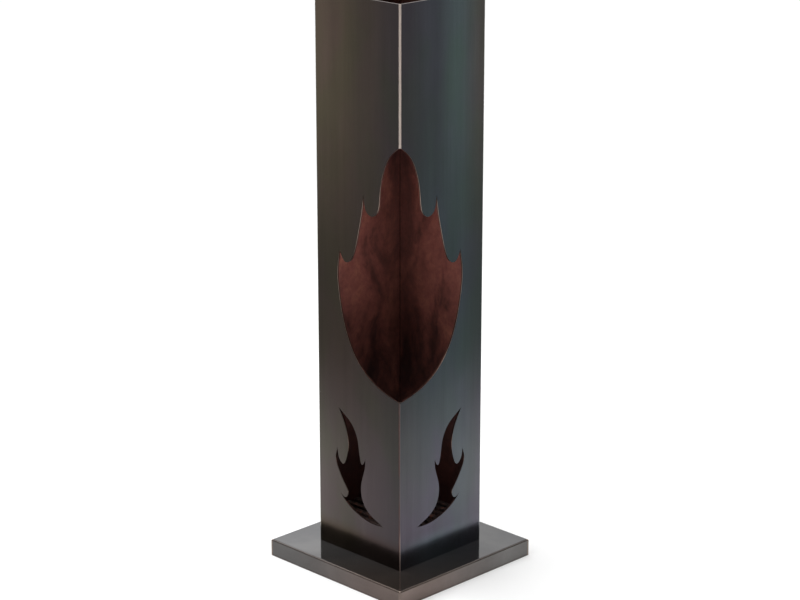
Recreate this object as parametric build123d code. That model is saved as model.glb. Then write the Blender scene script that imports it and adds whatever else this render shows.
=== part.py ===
from build123d import *
import os

os.makedirs("parts", exist_ok=True)

# A tall square fire column of folded steel, open at the top, that stands loose on a wider folded
# base tray. Its walls are parallel to X and Y, and the corner that carries the flame opening, the
# front, points to +X and -Y. Millimetres, +Z up, origin on the ground under the column's axis.

# Driving dimensions
OVERALL_HEIGHT = 1250.0
COLUMN_SIDE = 250.0
WALL = 4.0
COLUMN_BEND = 6.0  # outer radius of the two folded corners
TRAY_SIDE = 400.0
TRAY_HEIGHT = 38.0
TRAY_SHEET = 3.0
TRAY_BEND = 4.0  # outer radius
WELD_ROUND = 1.0  # on the dressed corner of a filled seam
CORNER_RELIEF = 1.0  # by which the skirts of a folded tray stop short of each other inside

LOCATOR_LEG = 30.0
LOCATOR_HEIGHT = 30.0
LOCATOR_SHEET = 3.0
LOCATOR_BEND = 4.5  # outer radius
LOCATOR_CLEARANCE = 1.0  # to the inside of the column
LOCATOR_WELD_LEG = 3.0
LOCATOR_WELD_LENGTH = 20.0

PAN_SIDE = 220.0
PAN_HEIGHT = 60.0
PAN_SHEET = 2.0
PAN_BEND = 3.0  # outer radius

GRATE_BAR_COUNT = 9
GRATE_BAR_SIZE = 12.0
GRATE_BAR_LENGTH = 228.0
GRATE_BAR_ROUND = 1.5
GRATE_BAR_PITCH = 23.0
GRATE_RAIL_DEPTH = 20.0
GRATE_RAIL_THICKNESS = 6.0
GRATE_RAIL_LENGTH = 208.0
GRATE_RAIL_OFFSET = 98.0  # from the centre line to the middle of a rail
GRATE_WELD_LEG = 3.0

ROOT_WELD_COUNT = 4
ROOT_WELD_LENGTH = 30.0
ROOT_WELD_LEG = 4.0

# Outlines of the openings on one front wall: distance from the front corner, height above the tray.
# Each run is one smooth curve between two sharp points, with the directions in degrees in which it
# leaves the first and reaches the last.
FLAME_RUNS = [
    (-36, 76, [(0, 923), (30, 898), (47, 867), (57, 830), (60.5, 797),
               (67, 774), (82, 764), (98, 771), (107, 805)]),
    (-84, 72, [(107, 805), (112, 770), (122, 725), (137, 673), (149, 655),
               (161, 651.5), (170, 658), (178.5, 676)]),
    (-78, 191, [(178.5, 676), (186, 627), (182, 580), (164, 507), (124, 438), (64, 396), (0, 378)]),
]
DRAUGHT_RUNS = [
    (219, 106, [(185, 324), (148, 298), (129, 268), (122, 230), (114, 211), (104.5, 226)]),
    (-93, 212, [(104.5, 226), (106, 205), (115, 176), (118, 150), (108, 120), (82, 99), (53, 86)]),
    (-6, 52, [(53, 86), (82, 84.5), (120, 91.5), (155, 107), (180, 129)]),
    (214, 107, [(180, 129), (167, 122.5), (158.5, 132), (168, 153),
                (188, 184), (196, 207), (190, 230)]),
    (262, 62, [(190, 230), (185, 208), (174, 198), (161, 218), (157, 250), (165, 286), (185, 324)]),
]

# Worked out from them
COLUMN_HALF = COLUMN_SIDE / 2
COLUMN_HEIGHT = OVERALL_HEIGHT - TRAY_HEIGHT
BORE_HALF = COLUMN_HALF - WALL
FLAME_TOP = FLAME_RUNS[0][2][0][1]
FLAME_BOTTOM = FLAME_RUNS[-1][2][-1][1]
PAN_RIM = TRAY_HEIGHT + PAN_HEIGHT

# The column is the same on both sides of the upright plane through its front and back corners.
MIRROR_PLANE = Plane(origin=(0, 0, 0), z_dir=(1, 1, 0))
# The front wall on the -Y side: x runs from the front corner, y up from the tray, z inwards.
FRONT_WALL = Plane(origin=(COLUMN_HALF, -COLUMN_HALF, TRAY_HEIGHT), x_dir=(-1, 0, 0), z_dir=(0, 1, 0))


def write(name, shape):
    """Write one piece, or one group of equal pieces, as its own node."""
    export_step(shape, os.path.join("parts", name + ".step"))


def angle_section(corner, end, sheet, bend):
    """Section of a sheet folded once: two equal legs from an outer corner at (corner, corner)."""
    fold = corner + bend
    inner = corner + sheet
    with BuildLine() as outline:
        Polyline((fold, corner), (end, corner), (end, inner), (fold, inner))
        RadiusArc((fold, inner), (inner, fold), bend - sheet)
        Polyline((inner, fold), (inner, end), (corner, end), (corner, fold))
        RadiusArc((corner, fold), (fold, corner), -bend)
    return make_face(outline.line)


def smooth_run(leaving, reaching, points):
    """Spline through points with its two end directions given in degrees."""
    ends = [Vector(1, 0).rotate(Axis.Z, heading) for heading in (leaving, reaching)]
    return Spline(*points, tangents=ends, tangent_scalars=(1, 1))


def opening(runs):
    """A cutter through the front wall, bounded by smooth runs that meet at sharp points."""
    edges = [smooth_run(*run) for run in runs]
    first, last = edges[0] @ 0, edges[-1] @ 1
    if first != last:
        edges.append(Line(last, first))
    return extrude(FRONT_WALL * make_face(edges), amount=2 * WALL, both=True)  # well past both faces


def column_shell():
    """One folded half of the column, with half of the flame opening and one draught opening."""
    section = angle_section(-COLUMN_HALF, BORE_HALF, WALL, COLUMN_BEND)
    shell = extrude(Pos(0, 0, TRAY_HEIGHT) * section, amount=COLUMN_HEIGHT)
    shell -= opening(FLAME_RUNS)
    shell -= opening(DRAUGHT_RUNS)
    return shell


def seam_weld(corner_x, corner_y, height):
    """Weld that fills the open corner between the two halves and is dressed to a fine edge."""
    toward_x = WALL if corner_x < 0 else -WALL
    toward_y = WALL if corner_y < 0 else -WALL
    middle = Pos(corner_x + toward_x / 2, corner_y + toward_y / 2, TRAY_HEIGHT + height / 2)
    bead = middle * Box(WALL, WALL, height)
    outer = bead.edges().filter_by(Axis.Z).sort_by_distance((corner_x, corner_y, bead.center().Z))[0]
    return fillet(outer, WELD_ROUND)


def bead(start, direction, legs, length):
    """Fillet weld of triangular section: start is its inside corner, legs its two leg vectors."""
    section = Plane(origin=start, x_dir=legs[0], z_dir=direction)
    second = section.to_local_coords(Vector(*start) + Vector(*legs[1]))
    with BuildLine() as outline:
        Polyline((0, 0), (Vector(*legs[0]).length, 0), (second.X, second.Y), close=True)
    return extrude(section * make_face(outline.line), amount=length)


def root_welds():
    """Short welds on the inside of the front corner, above the flame, where the outside stays open."""
    room = COLUMN_HEIGHT - FLAME_TOP
    pitch = room / ROOT_WELD_COUNT
    beads = []
    for number in range(ROOT_WELD_COUNT):
        foot = TRAY_HEIGHT + FLAME_TOP + pitch * (number + 0.5) - ROOT_WELD_LENGTH / 2
        legs = ((-ROOT_WELD_LEG, 0, 0), (0, ROOT_WELD_LEG, 0))
        beads.append(bead((BORE_HALF, -BORE_HALF, foot), (0, 0, 1), legs, ROOT_WELD_LENGTH))
    return Compound(beads)


def folded_tray(side, height, sheet, bend):
    """Open box folded from one sheet, mouth down, foot at z = 0: the tray and its four corner welds."""
    on_foot = (Align.CENTER, Align.CENTER, Align.MIN)
    inside = side - 2 * sheet
    outer = Box(side, side, height, align=on_foot)
    outer = fillet(outer.edges().group_by(Axis.Z)[-1], bend)
    hollow = Box(inside, inside, height - sheet, align=on_foot)
    hollow = fillet(hollow.edges().group_by(Axis.Z)[-1], bend - sheet)
    whole = outer - hollow
    notch = sheet + CORNER_RELIEF
    seams = []
    for corner in GridLocations(side - notch, side - notch, 2, 2):
        post = corner * Box(notch, notch, 2 * height)
        seams.append((whole & post).solid())
        whole -= post
    return whole.solid(), Compound(seams)


def locator(quarter):
    """Folded angle that keeps the column's foot in place, in the corner reached by quarter turns."""
    reach = BORE_HALF - LOCATOR_CLEARANCE
    section = angle_section(-reach, LOCATOR_LEG - reach, LOCATOR_SHEET, LOCATOR_BEND)
    piece = extrude(Pos(0, 0, TRAY_HEIGHT) * section, amount=LOCATOR_HEIGHT)
    return Rot(0, 0, 90 * quarter) * piece


def locator_welds():
    """Two fillet welds at the foot of each locator, along the inner faces of its legs."""
    face = -(BORE_HALF - LOCATOR_CLEARANCE - LOCATOR_SHEET)
    start = face + LOCATOR_BEND
    leg = LOCATOR_WELD_LEG
    length = LOCATOR_WELD_LENGTH
    beads = []
    for quarter in range(4):
        turn = Rot(0, 0, 90 * quarter)
        along_x = bead((start, face, TRAY_HEIGHT), (1, 0, 0), ((0, leg, 0), (0, 0, leg)), length)
        along_y = bead((face, start, TRAY_HEIGHT), (0, 1, 0), ((leg, 0, 0), (0, 0, leg)), length)
        beads += [turn * along_x, turn * along_y]
    return Compound(beads)


def grate_bar(number):
    """Square bar with eased long edges, resting across the pan's rim."""
    place = (number - (GRATE_BAR_COUNT - 1) / 2) * GRATE_BAR_PITCH
    bar = Box(GRATE_BAR_LENGTH, GRATE_BAR_SIZE, GRATE_BAR_SIZE)
    bar = fillet(bar.edges().filter_by(Axis.X), GRATE_BAR_ROUND)
    return Pos(0, place, PAN_RIM + GRATE_BAR_SIZE / 2) * bar


def grate_rail(side):
    """Flat bar on edge under the bars, just inside the pan's wall, that stops the grate sliding."""
    rail = Box(GRATE_RAIL_THICKNESS, GRATE_RAIL_LENGTH, GRATE_RAIL_DEPTH)
    return Pos(side * GRATE_RAIL_OFFSET, 0, PAN_RIM - GRATE_RAIL_DEPTH / 2) * rail


def grate_welds():
    """One fillet weld under each bar at each rail, on the rail's inner face."""
    width = GRATE_BAR_SIZE - 2 * GRATE_BAR_ROUND
    beads = []
    for side in (-1, 1):
        face = side * (GRATE_RAIL_OFFSET - GRATE_RAIL_THICKNESS / 2)
        for number in range(GRATE_BAR_COUNT):
            start = (number - (GRATE_BAR_COUNT - 1) / 2) * GRATE_BAR_PITCH - width / 2
            legs = ((-side * GRATE_WELD_LEG, 0, 0), (0, 0, -GRATE_WELD_LEG))
            beads.append(bead((face, start, PAN_RIM), (0, 1, 0), legs, width))
    return Compound(beads)


# The column: two folded halves, one the mirror image of the other, and the welds that join them
left_shell = column_shell()
write("left_shell", left_shell)
write("right_shell", mirror(left_shell, about=MIRROR_PLANE))
write("front_seam_weld", seam_weld(COLUMN_HALF, -COLUMN_HALF, FLAME_BOTTOM))
write("front_root_welds", root_welds())
write("back_seam_weld", seam_weld(-COLUMN_HALF, COLUMN_HALF, COLUMN_HEIGHT))

# The base: the tray with its welded corners, and the angles that locate the column
base_tray, tray_corner_welds = folded_tray(TRAY_SIDE, TRAY_HEIGHT, TRAY_SHEET, TRAY_BEND)
write("base_tray", base_tray)
write("tray_corner_welds", tray_corner_welds)
for quarter, place in enumerate(("left", "front", "right", "back")):
    write("locator_" + place, locator(quarter))
write("locator_welds", locator_welds())

# The ash pan, the same folded box turned mouth up, standing on the tray
turned_over = Pos(0, 0, PAN_RIM) * Rot(180, 0, 0)
ash_pan, pan_corner_welds = folded_tray(PAN_SIDE, PAN_HEIGHT, PAN_SHEET, PAN_BEND)
write("ash_pan", turned_over * ash_pan)
write("pan_corner_welds", turned_over * pan_corner_welds)

# The grate on the pan's rim
for number in range(GRATE_BAR_COUNT):
    write(f"grate_bar_{number + 1}", grate_bar(number))
for place, side in (("left", -1), ("right", 1)):
    write("grate_rail_" + place, grate_rail(side))
write("grate_welds", grate_welds())
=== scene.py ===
import math

import bmesh
import bpy
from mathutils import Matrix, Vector


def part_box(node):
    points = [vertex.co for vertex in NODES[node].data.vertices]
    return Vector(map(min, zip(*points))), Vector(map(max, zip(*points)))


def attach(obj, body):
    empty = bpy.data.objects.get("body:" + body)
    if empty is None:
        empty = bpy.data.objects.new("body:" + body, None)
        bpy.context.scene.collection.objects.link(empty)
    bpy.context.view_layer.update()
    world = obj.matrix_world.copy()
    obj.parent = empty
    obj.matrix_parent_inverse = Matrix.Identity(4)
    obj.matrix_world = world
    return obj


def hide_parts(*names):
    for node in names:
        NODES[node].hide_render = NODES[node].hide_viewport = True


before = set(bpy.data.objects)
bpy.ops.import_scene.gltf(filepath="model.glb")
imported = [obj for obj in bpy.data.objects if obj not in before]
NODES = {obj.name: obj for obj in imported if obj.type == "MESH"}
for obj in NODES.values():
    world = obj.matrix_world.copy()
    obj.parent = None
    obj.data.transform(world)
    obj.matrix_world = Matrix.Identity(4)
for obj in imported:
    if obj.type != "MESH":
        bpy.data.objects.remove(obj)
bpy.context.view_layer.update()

# The looks of a tall square fire column of dark oxide steel on its folded tray. Metres, +Z up. The
# column's front corner, which carries the flame opening, points to +X and -Y.

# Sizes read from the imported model
COLUMN_LOW, COLUMN_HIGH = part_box("left_shell")
COLUMN_HALF = -COLUMN_LOW.x
COLUMN_TOP = COLUMN_HIGH.z
WALL = COLUMN_HALF - COLUMN_HIGH.x
TRAY_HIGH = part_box("base_tray")[1]
PAN_LOW, PAN_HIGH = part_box("ash_pan")

# What the boxes don't give: the outer radius of the column's folds, the locators' sheet, and how many
# bars the grate has
COLUMN_BEND = 0.006
LOCATOR_SHEET = 0.003
GRATE_BARS = 9

# Welds: the leg of a fillet, the number and lengths of beads, how far from a locator's inside corner
# its beads start, and how far a bead stays off a bar's edges
WELD_LEG = 0.003
ROOT_BEADS = 4
ROOT_BEAD_LENGTH = 0.030
LOCATOR_BEAD_START = 0.0045
LOCATOR_BEAD_LENGTH = 0.020
GRATE_BEAD_EASE = 0.0015

# One bead: the pitch of its ripples, how far they lag in the middle, how high their crests stand,
# and how much of the leg is left in the middle, which is slightly hollow
RIPPLE = 0.0017
RIPPLE_LAG = 0.0009
RIPPLE_HEIGHT = 0.07
BEAD_MIDDLE = 0.74
RING_STEP = 0.0004
RING_SIDES = 8

# Camera: on the diagonal through the front corner, above the rim and looking a little down
EYE_DISTANCE = 4.668
EYE_HEIGHT = 2.013
EYE_AZIMUTH = math.radians(45)
EYE_PITCH = 0.29642
LENS = 103.19
SENSOR = 36.0

# Studio: two soft round lamps, each with its name, place, width and watts, and one overhead light
FLOOR_RADIUS = 40.0
LAMPS = (
    ("key_light", (-2.1, -0.9, 2.1), 1.2, 24),
    ("fill_light", (0.9, 2.1, 2.1), 1.2, 24),
)
OVERHEAD_PLACE = (-0.5, -1.0, 4.0)
OVERHEAD_ANGLE = math.radians(70)
OVERHEAD_STRENGTH = 2.9

# A dim room with a bright backdrop behind the object. The backdrop fades out to the sides and to the
# top, between these values of a unit vector's part along BACKDROP_WAY and upwards
ROOM_STRENGTH = 0.22
BACKDROP_STRENGTH = 1.05
BACKDROP_WAY = (-0.7071, 0.7071, 0)
BACKDROP_SIDES = (0.3, 0.75)
BACKDROP_HEAD = (0.75, 0.45)

# Colours along a sheet, from the front corner to the fold and on to the back corner, each at
# four heights: under the rim, at half height, near the foot and just above the tray. They are partly
# the oxide's own tone and partly painted reflection: dark at half height and lighter towards the foot,
# where the walls mirror the pale floor, with a table of its own for each sheet as each faces other
# surroundings
BAND_PLACES = (0.02, 0.2, 0.34, 0.5, 0.72, 0.98)
LEFT_TONE_AND_REFLECTION = (
    ((51, 48, 47), (60, 54, 48), (73, 64, 55), (82, 73, 62), (72, 65, 57), (56, 51, 48)),
    ((42, 38, 37), (43, 38, 33), (43, 37, 31), (42, 36, 31), (44, 39, 36), (44, 40, 39)),
    ((60, 57, 57), (68, 63, 62), (74, 68, 65), (83, 78, 74), (79, 74, 71), (66, 62, 62)),
    ((60, 53, 50), (68, 59, 54), (74, 63, 56), (80, 70, 62), (76, 68, 62), (64, 58, 55)),
)
RIGHT_TONE_AND_REFLECTION = (
    ((50, 49, 51), (53, 57, 60), (64, 75, 75), (66, 64, 60), (62, 70, 71), (53, 55, 57)),
    ((41, 43, 46), (44, 52, 55), (44, 52, 54), (41, 45, 46), (44, 48, 50), (43, 45, 48)),
    ((80, 78, 83), (83, 82, 90), (87, 89, 97), (89, 89, 94), (83, 85, 90), (74, 74, 77)),
    ((80, 82, 86), (92, 103, 107), (95, 101, 107), (94, 95, 101), (84, 90, 94), (74, 78, 82)),
)

# Heights between which the colours pass from half height to the rim, to the foot and to the tray
TO_RIM = (0.62, 1.12)
TO_FOOT = (0.53, 0.15)
TO_TRAY = (0.11, 0.075)

# Inside the column, rust where the fire stands, lightened as a painted glow of the fire, passes to
# soot going up and to a darker crust going down and towards the back corner
SOOT_ABOVE = (0.85, 1.15)
DARKER_BELOW = (0.62, 0.3)
DARKER_TO_BACK = (-0.06, -0.17)

# Depths below the column's outer face: where the skin gives way to the cut edge, where that edge's
# painted highlight gives way to dark brown, and where it gives way to the inner face
SKIN_ENDS = (0.00025, 0.00045)
EDGE_HIGHLIGHT_ENDS = (0.0009, 0.0018)
CRUST_STARTS = (WALL - 0.0004, WALL - 0.0002)

# Widths from an edge: the painted highlight on a corner seam's arris, the dark outer edge of the front
# corner's ground ends, the band under the tray's top that is still its top's colour, the painted shade
# along the tray's fold, and the darkening at the foot of its skirts
ARRIS = (0.0009, 0.0006)
GROUND_EDGE = (0.0003, 0.0007)
TOP_ENDS = (0.0005, 0.0025)
FOLD_SHADE = (0.0036, 0.0026)
SKIRT_FOOT_DARKENING = (0.006, 0.0)


def display(red, green, blue):
    """Linear colour of a display colour given in 0 to 255."""
    linear = []
    for value in (red, green, blue):
        part = value / 255
        linear.append(part / 12.92 if part <= 0.04045 else ((part + 0.055) / 1.055) ** 2.4)
    return (*linear, 1.0)


class Graph:
    """A new material and short calls that add nodes to it. Values are numbers, colours or sockets."""

    def __init__(self, name):
        self.material = bpy.data.materials.new(name)
        self.material.use_nodes = True
        self.tree = self.material.node_tree
        self.shader = self.tree.nodes["Principled BSDF"]
        self.spot = self.tree.nodes.new("ShaderNodeTexCoord").outputs["Object"]
        self.x, self.y, self.z = self.node("ShaderNodeSeparateXYZ", self.spot).outputs

    def node(self, kind, *values, **settings):
        made = self.tree.nodes.new(kind)
        for key, value in settings.items():
            setattr(made, key, value)
        for socket, value in zip(made.inputs, values):
            self.feed(socket, value)
        return made

    def feed(self, socket, value):
        """Links another node's socket to this one, or sets its value. None leaves it as it is."""
        if isinstance(value, bpy.types.NodeSocket):
            self.tree.links.new(value, socket)
        elif value is not None:
            socket.default_value = value[:3] if socket.type == "VECTOR" else value

    def math(self, operation, *values, clamp=False):
        return self.node("ShaderNodeMath", *values, operation=operation, use_clamp=clamp).outputs[0]

    def vector(self, operation, *values):
        made = self.node("ShaderNodeVectorMath", *values, operation=operation)
        return made.outputs["Value" if operation == "LENGTH" else "Vector"]

    def frontward(self):
        """Grows from the back corner to the front one, and is 0 between them."""
        return self.math("SUBTRACT", self.x, self.y)

    def rightward(self):
        """Grows from the left corner to the right one, and is 0 between them."""
        return self.math("ADD", self.x, self.y)

    def between(self, value, low, high, start=0.0, end=1.0):
        """Smooth step from start to end as value goes from low to high."""
        made = self.node("ShaderNodeMapRange", value, low, high, start, end)
        made.interpolation_type = "SMOOTHSTEP"
        return made.outputs[0]

    def noise(self, scale, detail=3.0, rough=0.5, stretch=(1, 1, 1), bend=0.0):
        """Noise in 0 to 1 around 0.5, drawn out along an axis where stretch is small."""
        spot = self.vector("MULTIPLY", self.spot, stretch)
        made = self.tree.nodes.new("ShaderNodeTexNoise")
        self.feed(made.inputs["Vector"], spot)
        self.feed(made.inputs["Scale"], scale)
        self.feed(made.inputs["Detail"], detail)
        self.feed(made.inputs["Roughness"], rough)
        self.feed(made.inputs["Distortion"], bend)
        return made.outputs["Fac"]

    def cells(self, scale):
        """Distance to the nearest of scattered points, which makes rounded flakes."""
        made = self.tree.nodes.new("ShaderNodeTexVoronoi")
        self.feed(made.inputs["Vector"], self.spot)
        self.feed(made.inputs["Scale"], scale)
        return made.outputs["Distance"]

    def ramp(self, value, *stops):
        """Colours blended smoothly between stops, each a place in 0 to 1 and a linear colour."""
        made = self.node("ShaderNodeValToRGB", value)
        made.color_ramp.interpolation = "EASE"
        points = made.color_ramp.elements
        while len(points) < len(stops):
            points.new(1.0)
        for point, (place, colour) in zip(points, stops):
            point.position = place
            point.color = colour
        return made.outputs[0]

    def blend(self, amount, first, second, kind="MIX"):
        """First where amount is 0 and second where it is 1, or the two multiplied."""
        made = self.tree.nodes.new("ShaderNodeMix")
        made.data_type = "RGBA"
        made.blend_type = kind
        sockets = {s.identifier: s for s in made.inputs}
        self.feed(sockets["Factor_Float"], amount)
        self.feed(sockets["A_Color"], first)
        self.feed(sockets["B_Color"], second)
        return next(s for s in made.outputs if s.identifier == "Result_Color")

    def scaled(self, colour, low, high, value):
        """The colour made darker or lighter, from low times to high times it, as value goes 0 to 1."""
        factor = self.node("ShaderNodeMapRange", value, 0.0, 1.0, low, high).outputs[0]
        made = self.node("ShaderNodeVectorMath", colour, operation="SCALE")
        self.feed(made.inputs["Scale"], factor)
        return made.outputs[0]

    def bump(self, height, depth, below=None):
        """Relief this deep where height goes 0 to 1, on top of another relief if there is one."""
        made = self.tree.nodes.new("ShaderNodeBump")
        made.inputs["Distance"].default_value = depth
        self.feed(made.inputs["Height"], height)
        self.feed(made.inputs["Normal"], below)
        return made.outputs[0]

    def finish(self, colour, roughness, metallic, normal=None):
        self.feed(self.shader.inputs["Base Color"], colour)
        self.feed(self.shader.inputs["Roughness"], roughness)
        self.feed(self.shader.inputs["Metallic"], metallic)
        self.feed(self.shader.inputs["Normal"], normal)
        return self.material


def skin_depth(graph):
    """How far below the column's outer skin a point lies: 0 outside, WALL on the inside."""
    flat = graph.vector("MULTIPLY", graph.spot, (1, 1, 0))
    past = graph.vector("SUBTRACT", graph.vector("ABSOLUTE", flat), (COLUMN_HALF - COLUMN_BEND,) * 3)
    reach = graph.vector("LENGTH", graph.vector("MAXIMUM", past, (0, 0, 0)))
    return graph.math("SUBTRACT", COLUMN_BEND, reach)


def column_skin(graph, bands):
    """Oiled oxide under painted reflections in soft bands up the sheet. Returns its colour, its lines
    and its cloudiness.
    """
    drift = graph.noise(2.2, detail=2.0, stretch=(1, 1, 0.35))

    # Along a sheet, 0 at the front corner, a half at the fold and 1 at the back corner, give or take
    along = graph.math("MULTIPLY_ADD", graph.frontward(), -0.25 / COLUMN_HALF, 0.5)
    along = graph.math("ADD", along, graph.math("MULTIPLY_ADD", drift, 0.07, -0.035))
    rows = [[display(*colour) for colour in row] for row in bands]
    rim, half, foot, low = [graph.ramp(along, *zip(BAND_PLACES, row)) for row in rows]
    skin = graph.blend(graph.between(graph.z, *TO_RIM), half, rim)
    skin = graph.blend(graph.between(graph.z, *TO_FOOT), skin, foot)
    skin = graph.blend(graph.between(graph.z, *TO_TRAY), skin, low)

    # The mill's lines run up the sheet; oil and handling cloud it and turn it olive or plum in places
    lines = graph.noise(420, detail=4.0, rough=0.65, stretch=(1, 1, 0.02))
    streaks = graph.noise(60, detail=3.0, stretch=(1, 1, 0.04))
    cloud = graph.noise(7, detail=5.0, rough=0.6, bend=0.4)
    olive = (0.94, 1.0, 0.92, 1)
    plum = (1.04, 0.97, 1.05, 1)
    hue = graph.ramp(graph.noise(9, detail=3.0, stretch=(1, 1, 0.5)), (0.36, olive), (0.64, plum))
    skin = graph.blend(1.0, skin, hue, "MULTIPLY")
    skin = graph.scaled(skin, 0.86, 1.14, lines)
    skin = graph.scaled(skin, 0.88, 1.12, streaks)
    return graph.scaled(skin, 0.86, 1.14, cloud), lines, cloud


def column_crust(graph):
    """Scale inside: rust lightened as a painted glow of the fire, and a darker crust round it. Returns
    its colour and its grain.
    """
    patch = graph.noise(16, detail=5.0, rough=0.6, stretch=(1, 1, 0.5), bend=0.5)
    mottle = graph.noise(75, detail=6.0, rough=0.7, bend=0.4)
    speck = graph.noise(260, detail=4.0, rough=0.7, stretch=(1, 1, 0.5))
    level = graph.math("ADD", graph.z, graph.math("MULTIPLY_ADD", patch, 0.4, -0.2))
    above = graph.between(level, *SOOT_ABOVE)
    below = graph.between(level, *DARKER_BELOW)
    dark_amount = graph.math("ADD", above, below, clamp=True)
    corner = graph.math("MULTIPLY_ADD", patch, 0.12, graph.frontward())
    dark_amount = graph.math("MAXIMUM", dark_amount, graph.between(corner, *DARKER_TO_BACK, 0.0, 0.7))
    # The rust's light salmon is rust lightened as a painted glow of the fire
    rust = graph.ramp(
        patch,
        (0.3, display(112, 66, 60)),
        (0.5, display(150, 90, 80)),
        (0.7, display(172, 108, 92)),
    )
    soot = graph.ramp(patch, (0.3, display(44, 26, 24)), (0.7, display(80, 44, 38)))
    crust = graph.scaled(graph.blend(dark_amount, rust, soot), 0.7, 1.3, speck)
    return graph.scaled(crust, 0.45, 1.55, mottle), speck


def column_steel(name, bands):
    """Oxide skin outside and rust and soot inside, with painted reflections, a painted glow of the
    fire and painted highlights on the cut edges between them, which are clean at the corner.
    """
    graph = Graph(name)
    depth = skin_depth(graph)
    skin, lines, cloud = column_skin(graph, bands)
    crust, speck = column_crust(graph)
    inside = graph.between(depth, *CRUST_STARTS)
    below_skin = graph.between(depth, *SKIN_ENDS)
    cut = graph.math("MULTIPLY", below_skin, graph.math("SUBTRACT", 1.0, inside))

    # A cut edge carries a painted highlight, a bright line at the skin where the beam entered, and is
    # dark brown further in
    stripes = graph.noise(700, detail=2.0)
    past_highlight = graph.between(depth, *EDGE_HIGHLIGHT_ENDS)
    edge = graph.blend(past_highlight, display(168, 146, 134), display(64, 42, 36))
    edge = graph.scaled(edge, 0.7, 1.2, stripes)
    rim = graph.between(graph.z, COLUMN_TOP - 0.0003, COLUMN_TOP - 0.0001)
    edge = graph.blend(rim, edge, display(104, 84, 78))
    colour = graph.blend(cut, graph.blend(inside, skin, crust), edge)

    # The sheets' ends at the front corner, past both walls' inner faces, were ground clean all but
    # their outer edge. Their near-white is clean steel made lighter still as a painted highlight
    front = graph.math("MULTIPLY", graph.y, -1.0)
    near_wall = graph.math("MINIMUM", graph.x, front)
    far_wall = graph.math("MAXIMUM", graph.x, front)
    end_face = COLUMN_HALF - WALL
    ground = graph.between(near_wall, end_face - 0.00008, end_face - 0.00002)
    inward = graph.math("SUBTRACT", COLUMN_HALF, far_wall)
    ground = graph.math("MULTIPLY", ground, graph.between(inward, *GROUND_EDGE))
    colour = graph.blend(ground, colour, graph.scaled(display(218, 209, 203), 0.96, 1.02, stripes))

    rough = graph.math("MULTIPLY_ADD", cloud, 0.1, 0.1)
    rough = graph.math("MULTIPLY_ADD", lines, 0.05, rough)
    rough = graph.math("MULTIPLY_ADD", inside, 0.3, rough)
    rough = graph.math("MULTIPLY_ADD", cut, 0.16, rough)
    metallic = graph.math("MULTIPLY_ADD", inside, -0.8, 1.0)
    sheet = graph.bump(graph.noise(5, detail=1.0), 0.0012)
    fine = graph.bump(graph.noise(900, detail=2.0, rough=0.6), 0.00003, sheet)
    relief = graph.bump(graph.math("MULTIPLY", speck, inside), 0.0003, fine)
    return graph.finish(colour, rough, metallic, relief)


def seam_marks(graph):
    """A seam ground flush. Returns its cross scratches, blotchy heat tint, roughness and relief."""
    scratch = graph.noise(650, detail=3.0, stretch=(0.15, 0.15, 1))
    tint = graph.noise(55, detail=4.0, stretch=(1, 1, 0.3), bend=0.5)
    rough = graph.math("MULTIPLY_ADD", scratch, 0.14, 0.14)
    return scratch, tint, rough, graph.bump(scratch, 0.00004)


def column_seam(name):
    """The column's corner seams, ground flush and blackened like the skin, with a painted highlight on
    the fine arris.
    """
    graph = Graph(name)
    left = column_skin(graph, LEFT_TONE_AND_REFLECTION)[0]
    right = column_skin(graph, RIGHT_TONE_AND_REFLECTION)[0]
    on_right = graph.between(graph.rightward(), -0.0004, 0.0004)
    scratch, tint, rough, relief = seam_marks(graph)
    heat = graph.between(tint, 0.35, 0.6)
    left = graph.blend(graph.math("MULTIPLY", heat, 0.7), left, display(74, 50, 46))
    skin = graph.scaled(graph.blend(on_right, left, right), 0.85, 1.15, scratch)

    # The arris's colour is a painted highlight, brighter at the foot, where it has only the dark tray
    # to reflect
    corner = graph.math("ABSOLUTE", graph.frontward())
    arris = graph.between(graph.math("SUBTRACT", 2 * COLUMN_HALF, corner), *ARRIS)
    foot = graph.between(graph.z, 0.14, 0.1)
    arris_highlight = graph.blend(foot, display(102, 92, 92), display(176, 156, 147))
    skin = graph.blend(arris, skin, graph.scaled(arris_highlight, 0.75, 1.25, scratch))
    rough = graph.math("MULTIPLY_ADD", arris, 0.35, rough)
    metallic = graph.math("MULTIPLY_ADD", arris, -0.6, 1.0)
    return graph.finish(skin, rough, metallic, relief)


def dressed_weld(name, dark, light):
    """A filled seam ground flush, between two shades of its heat tint."""
    graph = Graph(name)
    scratch, tint, rough, relief = seam_marks(graph)
    body = graph.scaled(graph.ramp(tint, (0.32, dark), (0.7, light)), 0.85, 1.2, scratch)
    return graph.finish(body, rough, 0.95, relief)


def bead_weld(name):
    """An unground bead: grey scale, with straw to blue heat tint in patches."""
    graph = Graph(name)
    tint = graph.noise(90, detail=4.0, bend=0.8)
    scale = graph.noise(500, detail=5.0, rough=0.7)
    body = graph.ramp(
        tint,
        (0.28, display(62, 58, 66)),
        (0.45, display(104, 84, 66)),
        (0.58, display(92, 92, 96)),
        (0.75, display(58, 66, 84)),
    )
    body = graph.scaled(body, 0.7, 1.2, scale)
    rough = graph.math("MULTIPLY_ADD", scale, 0.35, 0.22)
    return graph.finish(body, rough, 0.9, graph.bump(scale, 0.00008))


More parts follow.
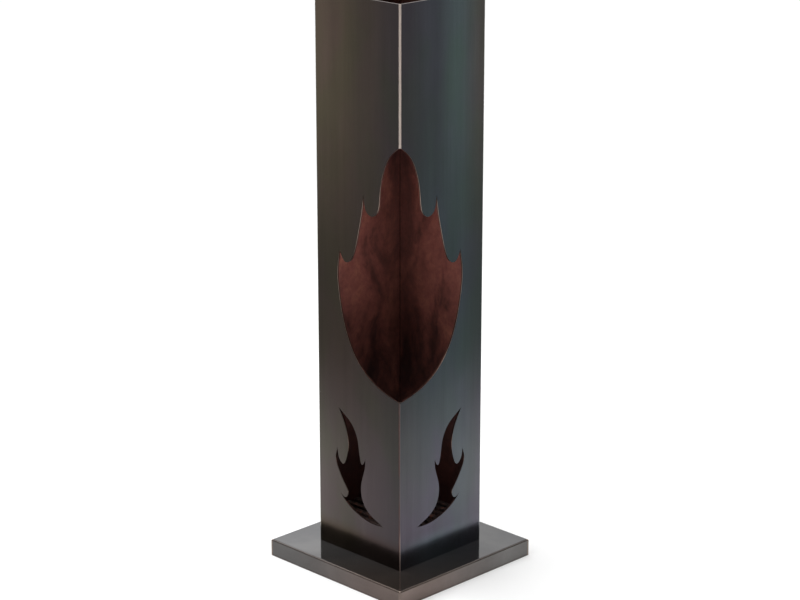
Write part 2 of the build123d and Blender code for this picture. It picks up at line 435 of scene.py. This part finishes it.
def tray_steel(name):
    """The tray's glossy oxide skin, browner near the front. Its top is darker to the right, and its
    left skirts are darker than its right ones as painted shade."""
    graph = Graph(name)
    cloud = graph.noise(6, detail=5.0, rough=0.6, bend=0.6)
    lines = graph.noise(380, detail=3.0, rough=0.6, stretch=(0.02, 1, 1))
    speck = graph.noise(700, detail=2.0)

    def clouded(dark, light):
        return graph.ramp(cloud, (0.3, display(*dark)), (0.7, display(*light)))

    near = graph.between(graph.frontward(), 0.05, 0.36)
    grey = clouded((100, 100, 102), (118, 117, 117))
    brown = clouded((98, 88, 82), (114, 102, 95))
    top = graph.blend(near, grey, brown)
    top = graph.scaled(top, 1.14, 0.7, graph.between(graph.rightward(), -0.3, 0.3))
    grey = clouded((96, 94, 93), (112, 110, 109))
    brown = clouded((104, 92, 87), (120, 106, 101))
    skirt = graph.blend(near, grey, brown)
    # Painted shade: the left skirts darker than the right ones
    skirt = graph.scaled(skirt, 0.72, 1.03, graph.between(graph.rightward(), -0.002, 0.002))
    to_top = graph.math("SUBTRACT", TRAY_HIGH.z, graph.z)
    skin = graph.blend(graph.between(to_top, *TOP_ENDS), top, skirt)
    skin = graph.scaled(skin, 0.9, 1.1, lines)

    # Painted shade along the top fold, darker and duller where the ways to the side and to the top are
    # both short; and darker at the foot of the skirts
    sides = graph.node("ShaderNodeSeparateXYZ", graph.vector("ABSOLUTE", graph.spot)).outputs
    to_side = graph.math("SUBTRACT", TRAY_HIGH.x, graph.math("MAXIMUM", sides[0], sides[1]))
    fold = graph.between(graph.math("ADD", to_side, to_top), *FOLD_SHADE)
    skin = graph.blend(graph.math("MULTIPLY", fold, 0.8), skin, display(52, 44, 39))
    foot = graph.between(graph.z, *SKIRT_FOOT_DARKENING)
    skin = graph.blend(graph.math("MULTIPLY", foot, 0.5), skin, display(66, 56, 50))

    rough = graph.math("MULTIPLY_ADD", cloud, 0.06, 0.03)
    rough = graph.math("MULTIPLY_ADD", lines, 0.03, rough)
    rough = graph.math("MULTIPLY_ADD", fold, 0.3, rough)
    sheet = graph.bump(graph.noise(7, detail=1.0), 0.0006)
    return graph.finish(skin, rough, 0.86, graph.bump(speck, 0.00002, sheet))


def raw_steel(name):
    """Folded angle, never finished: blotched oxide with rust starting in places."""
    graph = Graph(name)
    blotch = graph.noise(35, detail=6.0, rough=0.65, bend=0.5)
    speck = graph.noise(600, detail=3.0)
    skin = graph.ramp(
        blotch,
        (0.3, display(62, 56, 56)),
        (0.5, display(84, 72, 66)),
        (0.7, display(118, 70, 50)),
    )
    skin = graph.scaled(skin, 0.8, 1.15, speck)
    rough = graph.math("MULTIPLY_ADD", blotch, 0.5, 0.18)
    metallic = graph.between(blotch, 0.68, 0.5, 0.25, 1.0)
    return graph.finish(skin, rough, metallic, graph.bump(speck, 0.00006))


def pan_steel(name):
    """Raw sheet under soot on its walls and pale ash dust where ash lies."""
    graph = Graph(name)
    cloud = graph.noise(22, detail=7.0, rough=0.65, bend=0.7)
    speck = graph.noise(420, detail=4.0, rough=0.7)
    steel = graph.ramp(
        cloud,
        (0.3, display(72, 66, 64)),
        (0.6, display(104, 94, 88)),
        (0.75, display(112, 80, 62)),
    )
    height = graph.math("MULTIPLY_ADD", cloud, 0.03, graph.z)
    soot = graph.between(height, PAN_HIGH.z - 0.02, PAN_HIGH.z + 0.012)
    skin = graph.blend(graph.math("MULTIPLY", soot, 0.8), steel, display(34, 30, 29))
    ash = graph.between(height, PAN_LOW.z + 0.024, PAN_LOW.z + 0.013)
    dust = graph.ramp(speck, (0.3, display(126, 122, 118)), (0.65, display(186, 182, 176)))
    skin = graph.blend(graph.math("MULTIPLY", ash, 0.7), skin, dust)
    rough = graph.math("MULTIPLY_ADD", cloud, 0.3, 0.25)
    rough = graph.math("MULTIPLY_ADD", ash, 0.35, rough)
    covered = graph.math("ADD", ash, soot, clamp=True)
    metallic = graph.math("MULTIPLY_ADD", covered, -0.75, 0.9)
    return graph.finish(skin, rough, metallic, graph.bump(speck, 0.00012))


def grate_steel(name):
    """Bar steel under a thick black scale that flakes to red rust."""
    graph = Graph(name)
    flake = graph.cells(140)
    cloud = graph.noise(45, detail=7.0, rough=0.7, bend=0.8)
    fine = graph.noise(500, detail=4.0, rough=0.7)
    skin = graph.ramp(
        cloud,
        (0.32, display(52, 47, 46)),
        (0.52, display(74, 62, 58)),
        (0.66, display(122, 70, 50)),
    )
    skin = graph.scaled(skin, 0.7, 1.15, fine)
    rough = graph.math("MULTIPLY_ADD", cloud, 0.4, 0.35)
    metallic = graph.between(cloud, 0.62, 0.48, 0.1, 0.75)
    coarse = graph.bump(flake, 0.0005)
    return graph.finish(skin, rough, metallic, graph.bump(fine, 0.0002, coarse))


def stage_floor(name):
    """Plain pale studio paper."""
    graph = Graph(name)
    paper = graph.noise(3, detail=3.0)
    colour = graph.ramp(paper, (0.3, (0.875, 0.875, 0.872, 1)), (0.7, (0.88, 0.88, 0.88, 1)))
    graph.shader.inputs["Specular IOR Level"].default_value = 0.1
    return graph.finish(colour, 0.8, 0.0)


def dress(material, *names):
    """Gives CAD nodes this material in all their slots."""
    for name in names:
        slots = NODES[name].data.materials
        if not slots:
            slots.append(material)
        for number in range(len(slots)):
            slots[number] = material


def weld_bead(bm, start, along, first_leg, second_leg, length):
    """A fillet bead of overlapping ripples from start, the inside corner, with rounded ends."""
    along, first_leg, second_leg = Vector(along), Vector(first_leg), Vector(second_leg)
    rings = []
    count = round(length / RING_STEP)
    for ring in range(count + 1):
        # Full size along the bead, rounded off to almost nothing at its ends
        place = ring / count
        swell = max(1 - abs(2 * place - 1) ** 6, 0.0) ** 0.5
        root = Vector(start) + along * (place * length)
        verts = [bm.verts.new(root)]
        for side in range(RING_SIDES + 1):
            angle = math.pi / 2 * side / RING_SIDES
            bow = math.sin(2 * angle)
            phase = (place * length + RIPPLE_LAG * bow) / RIPPLE % 1.0
            crest = 1 + RIPPLE_HEIGHT * (1 - phase) * bow
            reach = (BEAD_MIDDLE + (1 - BEAD_MIDDLE) * (1 - bow)) * crest * max(swell, 0.02)
            offset = first_leg * math.cos(angle) + second_leg * math.sin(angle)
            verts.append(bm.verts.new(root + offset * reach))
        rings.append(verts)
    for low, high in zip(rings, rings[1:]):
        for number in range(len(low)):
            after = (number + 1) % len(low)
            bm.faces.new((low[number], low[after], high[after], high[number]))
    bm.faces.new(list(reversed(rings[0])))
    bm.faces.new(rings[-1])


def bead_piece(name, beads, body, node, material):
    """All the beads of one CAD node as one rippled piece that stands for it."""
    bm = bmesh.new()
    for values in beads:
        weld_bead(bm, *values)
    bmesh.ops.recalc_face_normals(bm, faces=bm.faces)
    mesh = bpy.data.meshes.new(name)
    bm.to_mesh(mesh)
    bm.free()
    mesh.shade_smooth()
    mesh.materials.append(material)
    piece = bpy.data.objects.new(name, mesh)
    bpy.context.scene.collection.objects.link(piece)
    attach(piece, body)
    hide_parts(node)


def root_beads():
    """Short beads up the inside of the front corner, above the flame."""
    low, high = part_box("front_root_welds")
    leg = high.x - low.x
    pitch = (high.z - low.z - ROOT_BEAD_LENGTH) / (ROOT_BEADS - 1)
    beads = []
    for number in range(ROOT_BEADS):
        start = (high.x, low.y, low.z + pitch * number)
        beads.append((start, (0, 0, 1), (-leg, 0, 0), (0, leg, 0), ROOT_BEAD_LENGTH))
    return beads


def locator_beads():
    """Two beads at the foot of each locator, along the inner faces of its legs."""
    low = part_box("locator_left")[0]
    face = low.x + LOCATOR_SHEET
    start = face + LOCATOR_BEAD_START
    ways = [
        ((start, face), (1, 0), (0, WELD_LEG)),
        ((face, start), (0, 1), (WELD_LEG, 0)),
    ]
    beads = []
    for quarter in range(4):
        cos = math.cos(math.pi / 2 * quarter)
        sin = math.sin(math.pi / 2 * quarter)
        for way in ways:
            spot, along, toward = [(x * cos - y * sin, x * sin + y * cos) for x, y in way]
            up = (0, 0, WELD_LEG)
            beads.append(((*spot, low.z), (*along, 0), (*toward, 0), up, LOCATOR_BEAD_LENGTH))
    return beads


def grate_beads():
    """One bead under each bar at each rail, on the rail's inner face."""
    beads = []
    for name, toward in (("grate_rail_left", 1), ("grate_rail_right", -1)):
        low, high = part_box(name)
        face = high.x if toward > 0 else low.x
        for number in range(1, GRATE_BARS + 1):
            bar_low, bar_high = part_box(f"grate_bar_{number}")
            length = bar_high.y - bar_low.y - 2 * GRATE_BEAD_EASE
            start = (face, bar_low.y + GRATE_BEAD_EASE, bar_low.z)
            beads.append((start, (0, 1, 0), (toward * WELD_LEG, 0, 0), (0, 0, -WELD_LEG), length))
    return beads


def make_stage():
    """Plain pale floor, the studio round it and three soft lights."""
    bm = bmesh.new()
    bmesh.ops.create_circle(bm, cap_ends=True, segments=96, radius=FLOOR_RADIUS)
    mesh = bpy.data.meshes.new("floor")
    bm.to_mesh(mesh)
    bm.free()
    mesh.materials.append(stage_floor("stage_floor"))
    floor = bpy.data.objects.new("floor", mesh)
    bpy.context.scene.collection.objects.link(floor)

    make_world()
    for name, spot, width, power in LAMPS:
        lamp = bpy.data.lights.new(name, "AREA")
        lamp.shape = "DISK"
        lamp.size = width
        lamp.energy = power
        add_lamp(name, lamp, spot)
    sky = bpy.data.lights.new("overhead_light", "SUN")
    sky.angle = OVERHEAD_ANGLE
    sky.energy = OVERHEAD_STRENGTH
    add_lamp("overhead_light", sky, OVERHEAD_PLACE)


def add_lamp(name, lamp, spot):
    """A lamp at this spot, turned to the middle of the object and not seen itself."""
    holder = bpy.data.objects.new(name, lamp)
    holder.location = spot
    aim = Vector((0, 0, COLUMN_TOP / 2)) - Vector(spot)
    holder.rotation_euler = aim.to_track_quat("-Z", "Y").to_euler()
    holder.visible_camera = False
    bpy.context.scene.collection.objects.link(holder)


def make_world():
    """The room and its bright backdrop, which the gloss reflects. To the camera it is all white."""
    world = bpy.data.worlds.new("studio")
    world.use_nodes = True
    bpy.context.scene.world = world
    nodes = world.node_tree.nodes
    link = world.node_tree.links.new

    def between(value, low, high):
        made = nodes.new("ShaderNodeMapRange")
        made.interpolation_type = "SMOOTHSTEP"
        link(value, made.inputs[0])
        made.inputs[1].default_value = low
        made.inputs[2].default_value = high
        return made.outputs[0]

    way = nodes.new("ShaderNodeTexCoord").outputs["Generated"]
    behind = nodes.new("ShaderNodeVectorMath")
    behind.operation = "DOT_PRODUCT"
    link(way, behind.inputs[0])
    behind.inputs[1].default_value = BACKDROP_WAY
    height = nodes.new("ShaderNodeSeparateXYZ")
    link(way, height.inputs[0])
    backdrop = nodes.new("ShaderNodeMath")
    backdrop.operation = "MULTIPLY"
    link(between(behind.outputs["Value"], *BACKDROP_SIDES), backdrop.inputs[0])
    link(between(height.outputs["Z"], *BACKDROP_HEAD), backdrop.inputs[1])
    seen = nodes.new("ShaderNodeMath")
    seen.operation = "MAXIMUM"
    link(backdrop.outputs[0], seen.inputs[0])
    link(nodes.new("ShaderNodeLightPath").outputs["Is Camera Ray"], seen.inputs[1])
    glow = nodes.new("ShaderNodeMix")
    glow.data_type = "FLOAT"
    link(seen.outputs[0], glow.inputs["Factor"])
    glow.inputs["A"].default_value = ROOM_STRENGTH
    glow.inputs["B"].default_value = BACKDROP_STRENGTH
    link(glow.outputs["Result"], nodes["Background"].inputs["Strength"])
    nodes["Background"].inputs["Color"].default_value = (1.0, 1.0, 1.0, 1.0)


def make_camera():
    """The camera, facing the front corner and looking a little down."""
    lens = bpy.data.cameras.new("camera")
    lens.lens = LENS
    lens.sensor_width = SENSOR
    camera = bpy.data.objects.new("camera", lens)
    camera.location = (
        EYE_DISTANCE * math.sin(EYE_AZIMUTH),
        -EYE_DISTANCE * math.cos(EYE_AZIMUTH),
        EYE_HEIGHT,
    )
    camera.rotation_euler = (math.pi / 2 - EYE_PITCH, 0, EYE_AZIMUTH)
    bpy.context.scene.collection.objects.link(camera)
    bpy.context.scene.camera = camera


bpy.context.scene.view_settings.view_transform = "Standard"
make_camera()
make_stage()

locators = [name for name in NODES if name.startswith("locator_") and name != "locator_welds"]
grate = [name for name in NODES if name.startswith(("grate_bar", "grate_rail"))]
dress(column_steel("column_steel_left", LEFT_TONE_AND_REFLECTION), "left_shell")
dress(column_steel("column_steel_right", RIGHT_TONE_AND_REFLECTION), "right_shell")
dress(column_seam("column_seam"), "front_seam_weld", "back_seam_weld")
dress(tray_steel("tray_steel"), "base_tray")
dress(dressed_weld("tray_seam", display(102, 90, 84), display(126, 114, 106)), "tray_corner_welds")
dress(raw_steel("inner_steel"), *locators)
dress(pan_steel("pan_steel"), "ash_pan")
dress(dressed_weld("pan_seam", display(62, 56, 54), display(96, 86, 80)), "pan_corner_welds")
dress(grate_steel("grate_steel"), *grate)

bead_steel = bead_weld("bead_steel")
bead_piece("root_beads", root_beads(), "column", "front_root_welds", bead_steel)
bead_piece("locator_beads", locator_beads(), "base", "locator_welds", bead_steel)
bead_piece("grate_beads", grate_beads(), "grate", "grate_welds", bead_steel)
